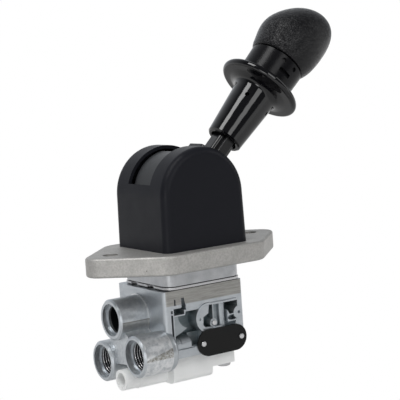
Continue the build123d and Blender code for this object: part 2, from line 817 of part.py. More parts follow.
def port_boss(place, end):
    """One round boss for an air port."""
    boss = round_x(port_rim, end, place[0], place[1], boss_radius)
    rim = boss.edges().filter_by(lambda e: abs(e.center().X - port_rim) < 0.01)
    boss = chamfer(rim, port_chamfer)
    far = boss.edges().filter_by(lambda e: abs(e.center().X - end) < 0.01)
    return fillet(far, 3.5)


def face_cut(points, y0, y1):
    """A straight-sided cut from the front, outlined in X and Z."""
    return side_profile(Polygon(*points, align=None), y0, y1)


def ring_outline(margin):
    """The raised ring and the land to its right, shrunk by a margin."""
    height = pocket_top - pocket_bottom + 2 * ring_wall - 2 * margin
    middle = (pocket_top + pocket_bottom) / 2
    outline = Pos(*ring_centre) * Circle(ring_radius - margin)
    outline += Pos((ring_centre[0] + body_right) / 2, middle) * Rectangle(body_right - ring_centre[0], height)
    return outline


def corner_recess(front):
    """The stepped recess left of the ring, with its slot, groove, shelf and bulging core."""
    before = front - 1
    deep = front + corner_depth
    top = recess_outline[0][1]
    side, bottom = recess_outline[-1]
    cut = face_cut([(recess_left, top), *recess_outline, (recess_left, bottom)], before, deep)
    foot = Polyline(shelf_edge[-1], *shelf_foot, (recess_left, shelf_foot[-1][1]),
                    (recess_left, shelf_edge[0][1]), shelf_edge[0])
    cut -= side_profile(make_face([*foot.edges(), Spline(*shelf_edge)]), front + shelf_depth, deep)
    cut -= block(core_bulge_end, side, front + tray_depth, deep, bottom, tray_top)
    middle = front + core_bulge_radius
    bulge = round_x(recess_left, core_bulge_end, middle, front_port[1], core_bulge_radius)
    seam = round_x(seam_place, seam_place + seam_width, middle, front_port[1], core_bulge_radius + 1)
    seam -= round_x(seam_place, seam_place + seam_width, middle, front_port[1], core_bulge_radius - seam_depth)
    cut -= bulge - seam
    cut += block(recess_left, slot_span[1], before, front + slot_depth, *corner_rows)
    cut += block(*slot_span, before, front + slot_depth, corner_rows[1] - 1, slot_top)
    cut += face_cut(ramp_outline, before, front + groove_depth)
    cut += block(*nick_span, before, front + nick_depth, *nick_rows)
    cut += block(*groove_span, before, front + groove_depth, *groove_rows)
    cut += block(*groove_span, before, front + nick_depth, *groove_nick_rows)
    cut += block(recess_left, bottom_seam_end, before, front + recess_depth + seam_depth,
                 recess_bottom - seam_width, recess_bottom)
    return cut


def ring_pocket(front):
    """The pocket inside the ring: cavity, rib, web, column, kidney and the pin's boss."""
    before = front - 1
    deep = front + pocket_depth
    web = front + pocket_web_depth
    rib_left, rib_right = pocket_rib
    column_left = column_place - column_radius
    column_middle = front + column_depth + column_radius
    cut = side_profile(Pos(*ring_centre) * Circle(ring_radius - ring_lip), before, front + recess_depth)
    cut += face_cut([(rib_left, pocket_top), (rib_left, cavity_bottom), *cavity_outline], before, deep)
    cut += block(rib_left - 0.1, rib_right, before, front + 2 * recess_depth, cavity_bottom, pocket_top)
    cut += block(rib_right, column_left, before, web, cavity_bottom, pocket_top)
    cut += block(column_left, kidney_left, before, deep, pocket_bottom, pocket_top)
    cut -= round_z(pocket_bottom, pocket_top, column_place, column_middle, column_radius)
    cut -= block(column_left, kidney_left, column_middle, deep, pocket_bottom, pocket_top)
    kidney = face_cut([(kidney_left, pocket_top), (kidney_right, pocket_top), (kidney_right, kidney_bottom),
                       (kidney_left + 1.4, kidney_bottom), (kidney_left, kidney_bottom + 2.6)],
                      before, front + kidney_depth)
    lens = side_profile(Pos(*lens_place) * Ellipse(*lens_size), before, web)
    (window_top, window_right), (window_bottom, window_corner) = lower_window
    lens += face_cut([(kidney_left, window_top), (window_right, window_top), (window_corner, window_bottom),
                      (kidney_left, window_bottom)], before, web)
    lobe = side_profile(Pos(*right_lobe) * Circle(lobe_radius), before - 1, front + kidney_depth + 1)
    cut += kidney - lobe
    cut += lens - lobe
    x, z = cavity_pin_place
    cut -= round_y(front + cavity_pin_boss_depth, deep, x, z, cavity_pin_radius + 0.8)
    for place in (left_lobe, right_lobe):
        cut += round_y(before, front + 2 * recess_depth, *place, lobe_hole_radius)
    cut += round_y(before, deep + 3, x, z, cavity_pin_radius - 0.5)
    return cut


def front_recesses(front):
    """Everything that is cored out of the casting's front face."""
    cut = block(recess_left, body_right + 1, front - 1, front + recess_depth, recess_bottom, recess_top)
    right_land = block(kidney_right - recess_depth, body_right + 1, front - 1, front + recess_depth,
                       recess_bottom, recess_top)
    ring = side_profile(ring_outline(0), front - 2, front + corner_depth + 1)
    return cut - right_land + corner_recess(front) - ring + ring_pocket(front)


def valve_body():
    """Die-cast body: ports on the left, cored pockets in front, the valve bore down the middle."""
    body = rounded_block(body_left, body_right, body_front, body_back, body_bottom, body_top,
                         body_corner_radius)
    body += port_boss(front_port, boss_end)
    body += port_boss(rear_port, rear_boss_end)
    body += port_boss(upper_port, body_left + 4)
    base = round_x(body_left - base_ring_width, body_left + 1, *upper_port, boss_radius + base_ring_rise)
    body += base
    web = Plane.YZ * Polygon(*web_outline, align=None)
    body += Pos(port_rim + web_setback, 0, 0) * extrude(web, body_left + 1 - port_rim - web_setback)
    body += round_z(body_bottom - 0.6, body_bottom + 1, 0, 0, retainer_radius + 2)
    body -= front_recesses(body_front)
    for x0, x1 in rear_cores:
        body -= rounded_core(x0, x1, *rear_core_rows)
    for y0, y1 in side_cores:
        body -= block(body_right - side_core_depth, body_right + 1, y0, y1, *side_core_rows)
    body -= round_z(piston_floor(), body_top + 1, 0, 0, piston_radius)
    body -= round_z(seat_top, piston_floor() + 1, 0, 0, piston_radius - 1.5)
    body -= round_z(seat_bottom, seat_top + 1, 0, 0, seat_radius)
    body -= round_z(chamber_bottom, seat_bottom, 0, 0, valve_chamber_radius)
    body -= round_z(body_bottom - 2, chamber_bottom, 0, 0, retainer_radius)
    for x, y in screw_places:
        body -= round_z(body_top - screw_grip, body_top + 1, x, y, screw_radius)
    for y, z in (front_port, rear_port):
        mouth = port_rim + counterbore_depth
        body -= round_x(port_rim - 1, mouth, y, z, counterbore_diameter / 2)
        body -= round_x(mouth, mouth + thread_depth, y, z, thread_diameter / 2)
    y, z = upper_port
    body -= round_x(port_rim - 1, port_rim + supply_counterbore_depth, y, z, supply_counterbore_diameter / 2)
    body -= round_x(port_rim, port_rim + supply_depth, y, z, supply_bore_diameter / 2)
    body -= round_x(port_rim + supply_depth - 1, 0, y - 1, seat_top + 3, 2.4)
    for y, z in (front_port, rear_port):
        far = Vector(drill_inner, 0.2 * y, chamber_bottom + drill_height)
        near = Vector(drill_start, 0.9 * y, z + 2.0)
        way = far - near
        body -= Plane(origin=(near + far) / 2, z_dir=way) * Cylinder(drill_radius, way.length)
    body -= round_z(body_bottom - 3, body_bottom + silencer_screw_depth + 1, *silencer_screw_place,
                    silencer_screw_radius)
    for side in (-1, 1):
        x = plate_centre[0] + side * rivet_spacing / 2
        body -= round_y(body_front - 1, body_front + rivet_depth, x, plate_centre[1], rivet_radius - 0.6)
    return body


def piston_floor():
    """Lowest place that the balance piston's bore reaches."""
    return piston_bottom - 2.5


def rounded_core(x0, x1, z0, z1):
    """A weight-saving core in the rear face."""
    face = Pos((x0 + x1) / 2, (z0 + z1) / 2) * RectangleRounded(x1 - x0, z1 - z0, rear_core_corner)
    return side_profile(face, body_back - rear_core_depth, body_back + 1)


def balance_piston():
    """Hollow piston that balances the graduating spring against the air below it."""
    radius = piston_radius - running_clearance
    piston = round_z(piston_bottom, piston_top, 0, 0, radius)
    piston -= round_z(piston_top - piston_cup_depth, piston_top + 1, 0, 0, radius - 1.8)
    piston += round_z(valve_top + tip_gap, piston_bottom + 1, 0, 0, piston_tube_radius)
    piston -= round_z(valve_top - 1, piston_top + 1, 0, 0, piston_bore_radius)
    for z in seal_places():
        groove = round_z(z - seal_section / 2, z + seal_section / 2, 0, 0, radius + 1)
        groove -= round_z(z - seal_section / 2, z + seal_section / 2, 0, 0, radius - seal_section)
        piston -= groove
    return piston


def seal_places():
    """Heights of the two piston seals."""
    return (piston_bottom + 1.4, piston_bottom + 3.6)


def piston_seals():
    """Two O-rings in the piston's grooves."""
    mean = piston_radius - running_clearance - seal_section / 2
    return [Pos(0, 0, z) * Torus(mean, seal_section / 2 * 0.98) for z in seal_places()]


def inlet_seat():
    """Brass seat pressed into the body."""
    ring = round_z(seat_bottom, seat_top, 0, 0, seat_radius)
    return ring - round_z(seat_bottom - 1, seat_top + 1, 0, 0, seat_bore)


def inlet_valve():
    """Rubber-faced valve with a hollow stem for the exhaust air."""
    valve = round_z(valve_top - valve_disc_height, valve_top, 0, 0, valve_disc_radius)
    valve += round_z(body_bottom + 2, valve_top - 1, 0, 0, valve_stem_radius)
    return valve - round_z(body_bottom, valve_top + 1, 0, 0, piston_bore_radius)


def valve_retainer():
    """Screwed plug that guides the valve and carries its spring."""
    plug = round_z(body_bottom, chamber_bottom, 0, 0, retainer_radius)
    plug -= round_z(body_bottom - 1, chamber_bottom + 1, 0, 0, valve_stem_radius + running_clearance)
    for turn in range(4):
        notch = block(5, retainer_radius - 1, -1.1, 1.1, body_bottom - 1, body_bottom + 2)
        plug -= Rot(0, 0, 45 + 90 * turn) * notch
    return plug


def exhaust_silencer():
    """Blown moulding under the body: round outlet tube, trough and a screwed ear."""
    axis = silencer_bottom + silencer_tube_radius
    start = silencer_trough_start
    tube = round_x(port_rim - 0.3, start + 1, 0, axis, silencer_tube_radius)
    tube += round_x(silencer_sleeve_end, start + 1, 0, axis + 0.1, silencer_tube_radius + silencer_sleeve_rise)
    trough = block(start, silencer_trough_end, -silencer_half_depth, silencer_back,
                   silencer_bottom, body_bottom)
    low = trough.edges().filter_by(Axis.X).sort_by(Axis.Z)[:2]
    trough = fillet(low, 4.0)
    ear_part = rounded_block(silencer_trough_end - 6, silencer_ear_end, -silencer_half_depth, silencer_ear_back,
                             silencer_ear_bottom, body_bottom, 2.4)
    shell = tube + trough + ear_part
    wall = silencer_wall
    shell -= round_x(port_rim - 1, start + wall, 0, axis, silencer_tube_radius - wall)
    shell -= block(start + wall, silencer_trough_end - wall, -silencer_half_depth + wall, silencer_back - wall,
                   silencer_bottom + wall, body_bottom + 1)
    shell -= round_z(body_bottom - 3, body_bottom + 1, 0, 0, retainer_radius + 2.3)
    place = silencer_screw_place
    shell -= round_z(silencer_ear_bottom - 1, body_bottom + 1, place[0], place[1], 1.9)
    shell -= block(silencer_trough_end + 2, silencer_ear_end - wall, -wall, silencer_ear_back - wall * 0.5,
                   silencer_ear_bottom + wall, body_bottom + 1)
    return shell


def silencer_screw():
    """Pan-head screw that holds the silencer's ear."""
    x, y = silencer_screw_place
    screw = round_z(silencer_ear_bottom, body_bottom + silencer_screw_depth, x, y, silencer_screw_radius)
    head = round_z(silencer_ear_bottom - silencer_head_height, silencer_ear_bottom, x, y, silencer_head_radius)
    head = fillet(head.edges().sort_by(Axis.Z)[0], 1.4)
    slot = block(x - 2.2, x + 2.2, y - 0.4, y + 0.4, silencer_ear_bottom - 3, silencer_ear_bottom - 1.1)
    slot += block(x - 0.4, x + 0.4, y - 2.2, y + 2.2, silencer_ear_bottom - 3, silencer_ear_bottom - 1.1)
    return screw + head - slot


def id_plate():
    """Blank aluminium plate, black, held by two rivets."""
    face = Pos(*plate_centre) * SlotOverall(plate_length, plate_height)
    plate = side_profile(face, body_front - plate_thickness, body_front)
    for side in (-1, 1):
        x = plate_centre[0] + side * rivet_spacing / 2
        plate -= round_y(body_front - 2, body_front + 1, x, plate_centre[1], rivet_radius - 0.6)
    return plate


def id_rivets():
    """Two domed rivets through the plate."""
    rivets = []
    for side in (-1, 1):
        x = plate_centre[0] + side * rivet_spacing / 2
        top = body_front - plate_thickness
        rivet = round_y(top, body_front + rivet_depth, x, plate_centre[1], rivet_radius - 0.6)
        head = round_y(top - 0.8, top, x, plate_centre[1], rivet_radius)
        head = fillet(head.edges().sort_by(Axis.Y)[0], 0.6)
        rivets.append(rivet + head)
    return rivets


def cavity_pin():
    """Peened pin in the front pocket."""
    x, z = cavity_pin_place
    boss = body_front + cavity_pin_boss_depth
    pin = round_y(boss, body_front + pocket_depth + 3, x, z, cavity_pin_radius - 0.5)
    head = round_y(body_front + 0.2, boss, x, z, cavity_pin_radius)
    head = fillet(head.edges().sort_by(Axis.Y)[0], 0.6)
    return pin + head


def wire_leg(path_end, way, wire, length):
    """A straight end of a spring, square to its axis, drawn out from where the coil stops."""
    level = Vector(way.X, way.Y, 0)
    return Plane(origin=path_end, z_dir=level) * Pos(0, 0, length / 2) * Cylinder(wire, length)


def return_spring():
    """Torsion spring on the shaft, one leg on the flange and one against the lever's stem."""
    radius = hub_radius + return_coil_gap
    start = stem_depth / 2 + return_side_gap + return_wire
    pitch = (ear_inner - bush_flange - return_side_gap - return_wire - start) / (return_turns + 0.2)
    target = stem_offset - stem_width / 2 - return_leg - hook_gap
    tilt = math.degrees(math.atan2(target, hook_height)) + math.degrees(
        math.asin(radius / math.hypot(target, hook_height)))
    sweep_turns = return_turns + (lever_lean + tilt) / 360
    path = Helix(pitch, pitch * sweep_turns, radius)
    section = Plane(origin=path @ 0, z_dir=path % 0) * RegularPolygon(return_wire, 6)
    wound = sweep(section, path, is_frenet=True)
    wound += wire_leg(path @ 0, path % 0 * -1, return_leg, pivot_height - return_leg)
    reach = math.sqrt(target ** 2 + hook_height ** 2 - radius ** 2)
    wound += wire_leg(path @ 1, path % 1, return_leg, reach)
    wound = Pos(0, start, pivot_height) * Rot(-90, 0, 0) * Rot(0, 0, 180) * wound
    hook_end = start + pitch * sweep_turns + return_leg
    hook = round_y(0, hook_end, target, hook_height, return_leg * 1.06)
    return wound + on_lever(hook)


def write(name, shape):
    """Write one node, its solids kept apart."""
    if isinstance(shape, list):
        shape = Compound(children=[s.solid() for s in shape])
    export_step(shape, f"parts/{name}.step")


write("mounting_flange", mounting_flange())
write("shaft_bush_front", shaft_bush(-1))
write("shaft_bush_rear", shaft_bush(1))
write("cap", cap())
write("detent_plate", detent_plate())
write("detent_screws", detent_screws())
write("return_spring", return_spring())
write("neck_gasket", joint_layer(plate_top, neck_bottom, -gasket_inset, False))
write("joint_plate", joint_layer(plate_bottom, plate_top, joint_plate_overhang, True))
write("body_gasket", joint_layer(body_top, plate_bottom, -gasket_inset / 2, True))
write("housing_screws", housing_screws())
write("valve_body", valve_body())
write("inlet_seat", inlet_seat())
write("valve_retainer", valve_retainer())
write("exhaust_silencer", exhaust_silencer())
write("silencer_screw", silencer_screw())
write("id_plate", id_plate())
write("id_rivets", id_rivets())
write("cavity_pin", cavity_pin())
write("lever_arm", lever_arm())
write("lever_shaft", lever_shaft())
write("drive_pin", drive_pin())
write("shaft_clips", shaft_clips())
write("cam", cam())
write("drum_shield", drum_shield())
write("knob_neck", knob_neck())
write("knob", knob())
write("lock_collar", lock_collar())
write("lock_slider", lock_slider())
write("slider_pin", slider_pin())
write("collar_spring", on_stem(coil(collar_coil_radius, collar_wire, collar_web_bottom + collar_web,
                                    neck_ring_bottom, 5)))
write("cam_follower", cam_follower())
write("graduating_spring", coil(graduating_coil_radius, graduating_wire, piston_top - piston_cup_depth,
                                head_bottom, 4.5))
write("balance_piston", balance_piston())
write("piston_seals", piston_seals())
write("inlet_valve", inlet_valve())
write("valve_spring", coil(valve_coil_radius, valve_wire, chamber_bottom, valve_top - valve_disc_height, 3.5))
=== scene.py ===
import bpy
import bmesh
import math
from mathutils import Matrix, Vector


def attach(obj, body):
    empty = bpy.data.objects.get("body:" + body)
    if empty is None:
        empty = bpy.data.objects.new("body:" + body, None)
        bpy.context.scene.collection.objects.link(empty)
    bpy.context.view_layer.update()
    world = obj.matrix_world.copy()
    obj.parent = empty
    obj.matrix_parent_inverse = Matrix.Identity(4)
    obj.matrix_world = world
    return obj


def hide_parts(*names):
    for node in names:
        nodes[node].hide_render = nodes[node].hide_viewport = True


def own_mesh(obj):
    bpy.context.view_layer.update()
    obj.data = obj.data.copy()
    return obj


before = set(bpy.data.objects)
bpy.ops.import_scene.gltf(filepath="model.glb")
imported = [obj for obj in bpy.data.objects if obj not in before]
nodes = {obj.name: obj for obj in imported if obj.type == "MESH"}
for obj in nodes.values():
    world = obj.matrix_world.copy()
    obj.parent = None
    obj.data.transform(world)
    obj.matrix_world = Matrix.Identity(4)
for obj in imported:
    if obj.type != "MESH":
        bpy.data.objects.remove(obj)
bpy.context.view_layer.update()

# Mounting flange: one sand casting in aluminium with the neck under it, blasted to a warm grey.
# Only the panel holes and the neck's faces are machined, so the rest keeps a fine open grain
# and a few dark pores.

mm = 0.001
scene = bpy.context.scene
weld_distance = 0.002 * mm
shortest_edge = 0.0005 * mm


def start_finish(name, colour, roughness, metal=0.0):
    """A new surface: material, its node tree and its main shader."""
    material = bpy.data.materials.new(name)
    material.use_nodes = True
    tree = material.node_tree
    surface = tree.nodes["Principled BSDF"]
    surface.inputs["Base Color"].default_value = (*colour, 1)
    surface.inputs["Roughness"].default_value = roughness
    surface.inputs["Metallic"].default_value = metal
    return material, tree, surface


def place_coordinates(tree, stretch=(1, 1, 1), shift=(0, 0, 0), turn=(0, 0, 0)):
    """The piece's own coordinates in metres, moved, turned and stretched for a pattern."""
    source = tree.nodes.new("ShaderNodeTexCoord")
    mapping = tree.nodes.new("ShaderNodeMapping")
    mapping.inputs["Scale"].default_value = stretch
    mapping.inputs["Location"].default_value = shift
    mapping.inputs["Rotation"].default_value = turn
    tree.links.new(source.outputs["Object"], mapping.inputs["Vector"])
    return mapping.outputs["Vector"]


def cloud(tree, size, detail=3.0, rough=0.55, stretch=(1, 1, 1)):
    """Soft random pattern whose lumps are about size metres wide."""
    noise = tree.nodes.new("ShaderNodeTexNoise")
    noise.inputs["Scale"].default_value = 1 / size
    noise.inputs["Detail"].default_value = detail
    noise.inputs["Roughness"].default_value = rough
    tree.links.new(place_coordinates(tree, stretch), noise.inputs["Vector"])
    return noise.outputs[0]


def spread(tree, value, low, high, out_low, out_high):
    """A value between low and high, spread between two others."""
    node = tree.nodes.new("ShaderNodeMapRange")
    node.inputs["From Min"].default_value = low
    node.inputs["From Max"].default_value = high
    node.inputs["To Min"].default_value = out_low
    node.inputs["To Max"].default_value = out_high
    tree.links.new(value, node.inputs["Value"])
    return node.outputs["Result"]


def between(tree, value, first, second):
    """A colour between two, as value goes from 0 to 1."""
    node = tree.nodes.new("ShaderNodeMix")
    node.data_type = "RGBA"
    for socket, colour in ((node.inputs[6], first), (node.inputs[7], second)):
        if isinstance(colour, tuple):
            socket.default_value = (*colour, 1)
        else:
            tree.links.new(colour, socket)
    tree.links.new(value, node.inputs[0])
    return node.outputs[2]


def raise_surface(tree, surface, height, depth, strength=1.0, after=None):
    """Bump of the given depth in metres on a shader."""
    bump = tree.nodes.new("ShaderNodeBump")
    bump.inputs["Distance"].default_value = depth
    bump.inputs["Strength"].default_value = strength
    tree.links.new(height, bump.inputs["Height"])
    if after is not None:
        tree.links.new(after, bump.inputs["Normal"])
    tree.links.new(bump.outputs["Normal"], surface.inputs["Normal"])
    return bump.outputs["Normal"]


def show_smooth(node_name, body, material, crease=32):
    """A joined-up copy of a solid, with its curved faces shaded round, shown in its place."""
    mesh = nodes[node_name].data.copy()
    form = bmesh.new()
    form.from_mesh(mesh)
    bmesh.ops.remove_doubles(form, verts=form.verts, dist=weld_distance)
    bmesh.ops.dissolve_degenerate(form, edges=form.edges, dist=shortest_edge)
    form.to_mesh(mesh)
    form.free()
    if "custom_normal" in mesh.attributes:
        mesh.attributes.remove(mesh.attributes["custom_normal"])
    mesh.polygons.foreach_set("use_smooth", [True] * len(mesh.polygons))
    mesh.set_sharp_from_angle(angle=math.radians(crease))
    mesh.materials.clear()
    mesh.materials.append(material)
    piece = bpy.data.objects.new("finished_" + node_name, mesh)
    scene.collection.objects.link(piece)
    even = piece.modifiers.new("even_shading", "WEIGHTED_NORMAL")
    even.keep_sharp = True
    even.weight = 50
    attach(piece, body)
    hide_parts(node_name)
    return piece


def along(tree, axis):
    """The place along one axis of the piece, in metres."""
    source = tree.nodes.new("ShaderNodeTexCoord")
    split = tree.nodes.new("ShaderNodeSeparateXYZ")
    tree.links.new(source.outputs["Object"], split.inputs["Vector"])
    return split.outputs[axis]


def step_along(tree, axis, start, end):
    """Goes from 0 to 1 between two places along one axis of the piece."""
    return spread(tree, along(tree, axis), start, end, 0.0, 1.0)


def combine(tree, kind, first, second):
    """Two values worked together: MULTIPLY, ADD, SUBTRACT, MAXIMUM and so on."""
    node = tree.nodes.new("ShaderNodeMath")
    node.operation = kind
    for socket, value in zip(node.inputs, (first, second)):
        if isinstance(value, (int, float)):
            socket.default_value = value
        else:
            tree.links.new(value, socket)
    return node.outputs[0]


neck_start = -9.6 * mm
neck_full = -11.4 * mm
neck_smoothness = 0.20
cast_grey, tree, surface = start_finish("cast_aluminium", (0.50, 0.48, 0.455), 0.5, 0.8)
grain = cloud(tree, 0.5 * mm, 4.0, 0.7)
patches = spread(tree, cloud(tree, 7 * mm), 0.3, 0.7, 0.0, 1.0)
pores = spread(tree, cloud(tree, 3 * mm, 1.0), 0.775, 0.79, 0.0, 1.0)
on_neck = step_along(tree, "Z", neck_start, neck_full)
blasted = between(tree, patches, (0.44, 0.433, 0.418), (0.54, 0.53, 0.51))
freckles = spread(tree, cloud(tree, 0.9 * mm, 2.0), 0.42, 0.62, 0.0, 0.55)
blasted = between(tree, freckles, blasted, (0.36, 0.35, 0.335))
blasted = between(tree, pores, blasted, (0.10, 0.09, 0.08))
trimmed = between(tree, patches, (0.41, 0.42, 0.435), (0.53, 0.54, 0.555))
tree.links.new(between(tree, on_neck, blasted, trimmed), surface.inputs["Base Color"])
open_skin = spread(tree, grain, 0.3, 0.7, 0.46, 0.62)
smoother = combine(tree, "MULTIPLY", on_neck, neck_smoothness)
tree.links.new(combine(tree, "SUBTRACT", open_skin, smoother), surface.inputs["Roughness"])
raise_surface(tree, surface, grain, 0.09 * mm)
show_smooth("mounting_flange", "housing", cast_grey)

# Bearings, detent plate and small steel parts: sintered bronze bushes pressed into the ears, a
# stamped plate held by two screws, and the shaft, pins and screws, all bought in. The steel ones
# are zinc plated, the silencer's screw too.


def dress(node_names, material):
    """Gives the solids one finish."""
    for node_name in node_names:
        mesh = nodes[node_name].data
        mesh.materials.clear()
        mesh.materials.append(material)


zinc_plated, tree, surface = start_finish("zinc_plated_steel", (0.56, 0.56, 0.57), 0.34, 1.0)
brushing = cloud(tree, 0.4 * mm, 3.0, 0.6, (1, 1, 12))
tree.links.new(spread(tree, brushing, 0.3, 0.7, 0.26, 0.44), surface.inputs["Roughness"])
raise_surface(tree, surface, brushing, 0.03 * mm)
dress(["detent_plate", "detent_screws", "housing_screws", "lever_shaft", "drive_pin",
       "slider_pin", "silencer_screw"], zinc_plated)

bronze, tree, surface = start_finish("sintered_bronze", (0.50, 0.34, 0.17), 0.45, 1.0)
raise_surface(tree, surface, cloud(tree, 0.5 * mm), 0.05 * mm)
dress(["shaft_bush_front", "shaft_bush_rear"], bronze)

# Cap: one moulding in black glass-filled nylon with a fine spark-eroded texture.
# It clips over the rim on the flange, and its sheen varies a little from place to place.

cap_black, tree, surface = start_finish("moulded_cap_black", (0.011, 0.0115, 0.015), 0.38)
surface.inputs["Specular IOR Level"].default_value = 0.10
erosion = cloud(tree, 0.35 * mm, 3.0, 0.6)
haze = cloud(tree, 12 * mm, 2.0)
tree.links.new(spread(tree, haze, 0.35, 0.65, 0.33, 0.41), surface.inputs["Roughness"])
raise_surface(tree, surface, erosion, 0.02 * mm)
show_smooth("cap", "housing", cap_black)

# Joint layers: two pressed-fibre gaskets with a thin steel plate between them.
# They are clamped between neck and body, so only their edges show.

gasket_fibre, tree, surface = start_finish("gasket_fibre", (0.02, 0.02, 0.02), 0.85)
raise_surface(tree, surface, cloud(tree, 0.6 * mm), 0.05 * mm)
dress(["neck_gasket", "body_gasket"], gasket_fibre)
show_smooth("joint_plate", "housing", zinc_plated)

# Valve body: pressure die-casting with a bluish skin and flow marks, cored out at the front.
# The band under the joint is machined. The die parted along the upper port's middle, which left a
# fine seam and a browner skin below it, and the front port's boss has a rough brown wedge.
# The bosses also carry painted sheen and painted highlights, and the bores and the cored pocket carry
# painted shade.

upper_port = (7.07 * mm, -36.4 * mm)
front_port = (-15.53 * mm, -53.3 * mm)
rear_port = (19.56 * mm, -61.0 * mm)
front_face = -20.4 * mm
band_low = -29.2 * mm
band_high = -28.8 * mm
core_start = -19.9 * mm
core_floor = -14.5 * mm
core_end = -8.5 * mm
core_top = -30.4 * mm
core_side = -21.6 * mm
boss_foot = -27.2 * mm
boss_rim = -43.8 * mm
bore_radius = 8.1 * mm
bore_start = -40.6 * mm
bore_end = -27.6 * mm
upper_bore_side = -1.5 * mm
highlight_top = -41 * mm
highlight_full = -45 * mm
highlight_side = -14 * mm
highlight_front = -20 * mm
seam_height = -36.8 * mm
stain_foot = -42.8 * mm
wedge_tip_x = -43.7 * mm
wedge_tip_z = -53.6 * mm
wedge_foot = -54.7 * mm
wedge_front = -22 * mm
wedge_slope = 0.23
wedge_raggedness = 1.6 * mm
soft_edge = 0.2 * mm


def where_all(tree, *shares):
    """Where several patterns meet: their product."""
    product = shares[0]
    for share in shares[1:]:
        product = combine(tree, "MULTIPLY", product, share)
    return product


die_cast, tree, surface = start_finish("die_cast_body", (0.50, 0.52, 0.55), 0.3, 0.88)
flow = spread(tree, cloud(tree, 8 * mm, 4.0, 0.6, (1, 1, 2.2)), 0.35, 0.65, 0.0, 1.0)
skin = cloud(tree, 0.8 * mm, 3.0, 0.6)
brushed = spread(tree, cloud(tree, 0.5 * mm, 3.0, 0.6, (0.06, 0.06, 1)), 0.3, 0.7, 0.0, 1.0)
blue_grey = between(tree, flow, (0.46, 0.49, 0.52), (0.54, 0.57, 0.595))
brown_grey = between(tree, brushed, (0.29, 0.285, 0.27), (0.44, 0.435, 0.415))
# Painted shade for the cored pocket, with the flow marks running through it.
painted_pocket_shade = between(tree, flow, (0.16, 0.20, 0.215), (0.24, 0.275, 0.29))
machined = where_all(tree, step_along(tree, "Z", band_low, band_high),
                     step_along(tree, "Y", front_face + 0.5 * mm, front_face + 0.2 * mm))
skin_colour = between(tree, machined, blue_grey, brown_grey)

on_bosses = where_all(tree, step_along(tree, "X", boss_foot, boss_foot - 0.1 * mm),
                      step_along(tree, "X", boss_rim - 0.1 * mm, boss_rim))
# Lighter mottling on the bosses: random tone, and partly a painted sheen that stands in for reflected
# light.
mottling_and_sheen = spread(tree, cloud(tree, 2.2 * mm, 3.0, 0.6), 0.35, 0.65, 0.0, 0.5)
skin_colour = between(tree, where_all(tree, on_bosses, mottling_and_sheen), skin_colour, (0.74, 0.76, 0.77))
# Painted highlight: near-white patches on the front of the lower bosses.
painted_highlight_patches = spread(tree, cloud(tree, 3 * mm, 3.0, 0.65), 0.40, 0.60, 0.15, 0.9)
painted_highlight_patches = where_all(tree, on_bosses, painted_highlight_patches, step_along(tree, "Z", highlight_top, highlight_full),
                         step_along(tree, "Y", highlight_side, highlight_front))
skin_colour = between(tree, painted_highlight_patches, skin_colour, (0.90, 0.91, 0.92))
# Painted highlight: a light line round each boss near its foot, where a fillet catches the light.
painted_foot_highlight = where_all(tree, step_along(tree, "X", boss_foot + 0.15 * mm, boss_foot),
                      step_along(tree, "X", boss_foot - 0.8 * mm, boss_foot - 0.6 * mm))
skin_colour = between(tree, combine(tree, "MULTIPLY", painted_foot_highlight, 0.7), skin_colour, (0.80, 0.81, 0.82))

stain = where_all(tree, on_bosses, step_along(tree, "Y", upper_bore_side, upper_bore_side - 0.5 * mm),
                  step_along(tree, "Z", seam_height + soft_edge, seam_height),
                  step_along(tree, "Z", stain_foot, stain_foot + 3 * mm))
seam = where_all(tree, stain, step_along(tree, "Z", seam_height - 0.5 * mm, seam_height - 0.3 * mm))
skin_colour = between(tree, combine(tree, "MULTIPLY", stain, 0.35), skin_colour, (0.36, 0.33, 0.27))
skin_colour = between(tree, combine(tree, "MULTIPLY", seam, 0.6), skin_colour, (0.12, 0.11, 0.09))

slope = combine(tree, "MULTIPLY", along(tree, "X"), wedge_slope)
sloped = combine(tree, "SUBTRACT", along(tree, "Z"), slope)
tears = combine(tree, "MULTIPLY", cloud(tree, 1.2 * mm, 3.0, 0.7), wedge_raggedness)
ragged = combine(tree, "ADD", sloped, tears)
wedge_top = wedge_tip_z - wedge_tip_x * wedge_slope + wedge_raggedness / 2
below_slope = spread(tree, ragged, wedge_top + soft_edge, wedge_top - soft_edge, 0.0, 1.0)
wedge = where_all(tree, on_bosses, below_slope,
                  step_along(tree, "Z", wedge_foot - 0.3 * mm, wedge_foot + 0.3 * mm),
                  step_along(tree, "Y", wedge_front, wedge_front - 1 * mm),
                  spread(tree, skin, 0.35, 0.6, 0.25, 0.85))
skin_colour = between(tree, wedge, skin_colour, (0.20, 0.185, 0.145))

# Painted shade: the inside of each port's bore is coloured nearly black.
for axis_y, axis_z in (upper_port, front_port, rear_port):
    across = combine(tree, "SUBTRACT", along(tree, "Y"), axis_y)
    upright = combine(tree, "SUBTRACT", along(tree, "Z"), axis_z)
    squares = combine(tree, "ADD", where_all(tree, across, across), where_all(tree, upright, upright))
    from_axis = combine(tree, "POWER", squares, 0.5)
    painted_bore_shade = where_all(tree, spread(tree, from_axis, bore_radius, bore_radius - 0.1 * mm, 0.0, 1.0),
                        step_along(tree, "X", bore_start, bore_start + 0.4 * mm),
                        step_along(tree, "X", bore_end + 0.4 * mm, bore_end))
    skin_colour = between(tree, painted_bore_shade, skin_colour, (0.04, 0.045, 0.05))

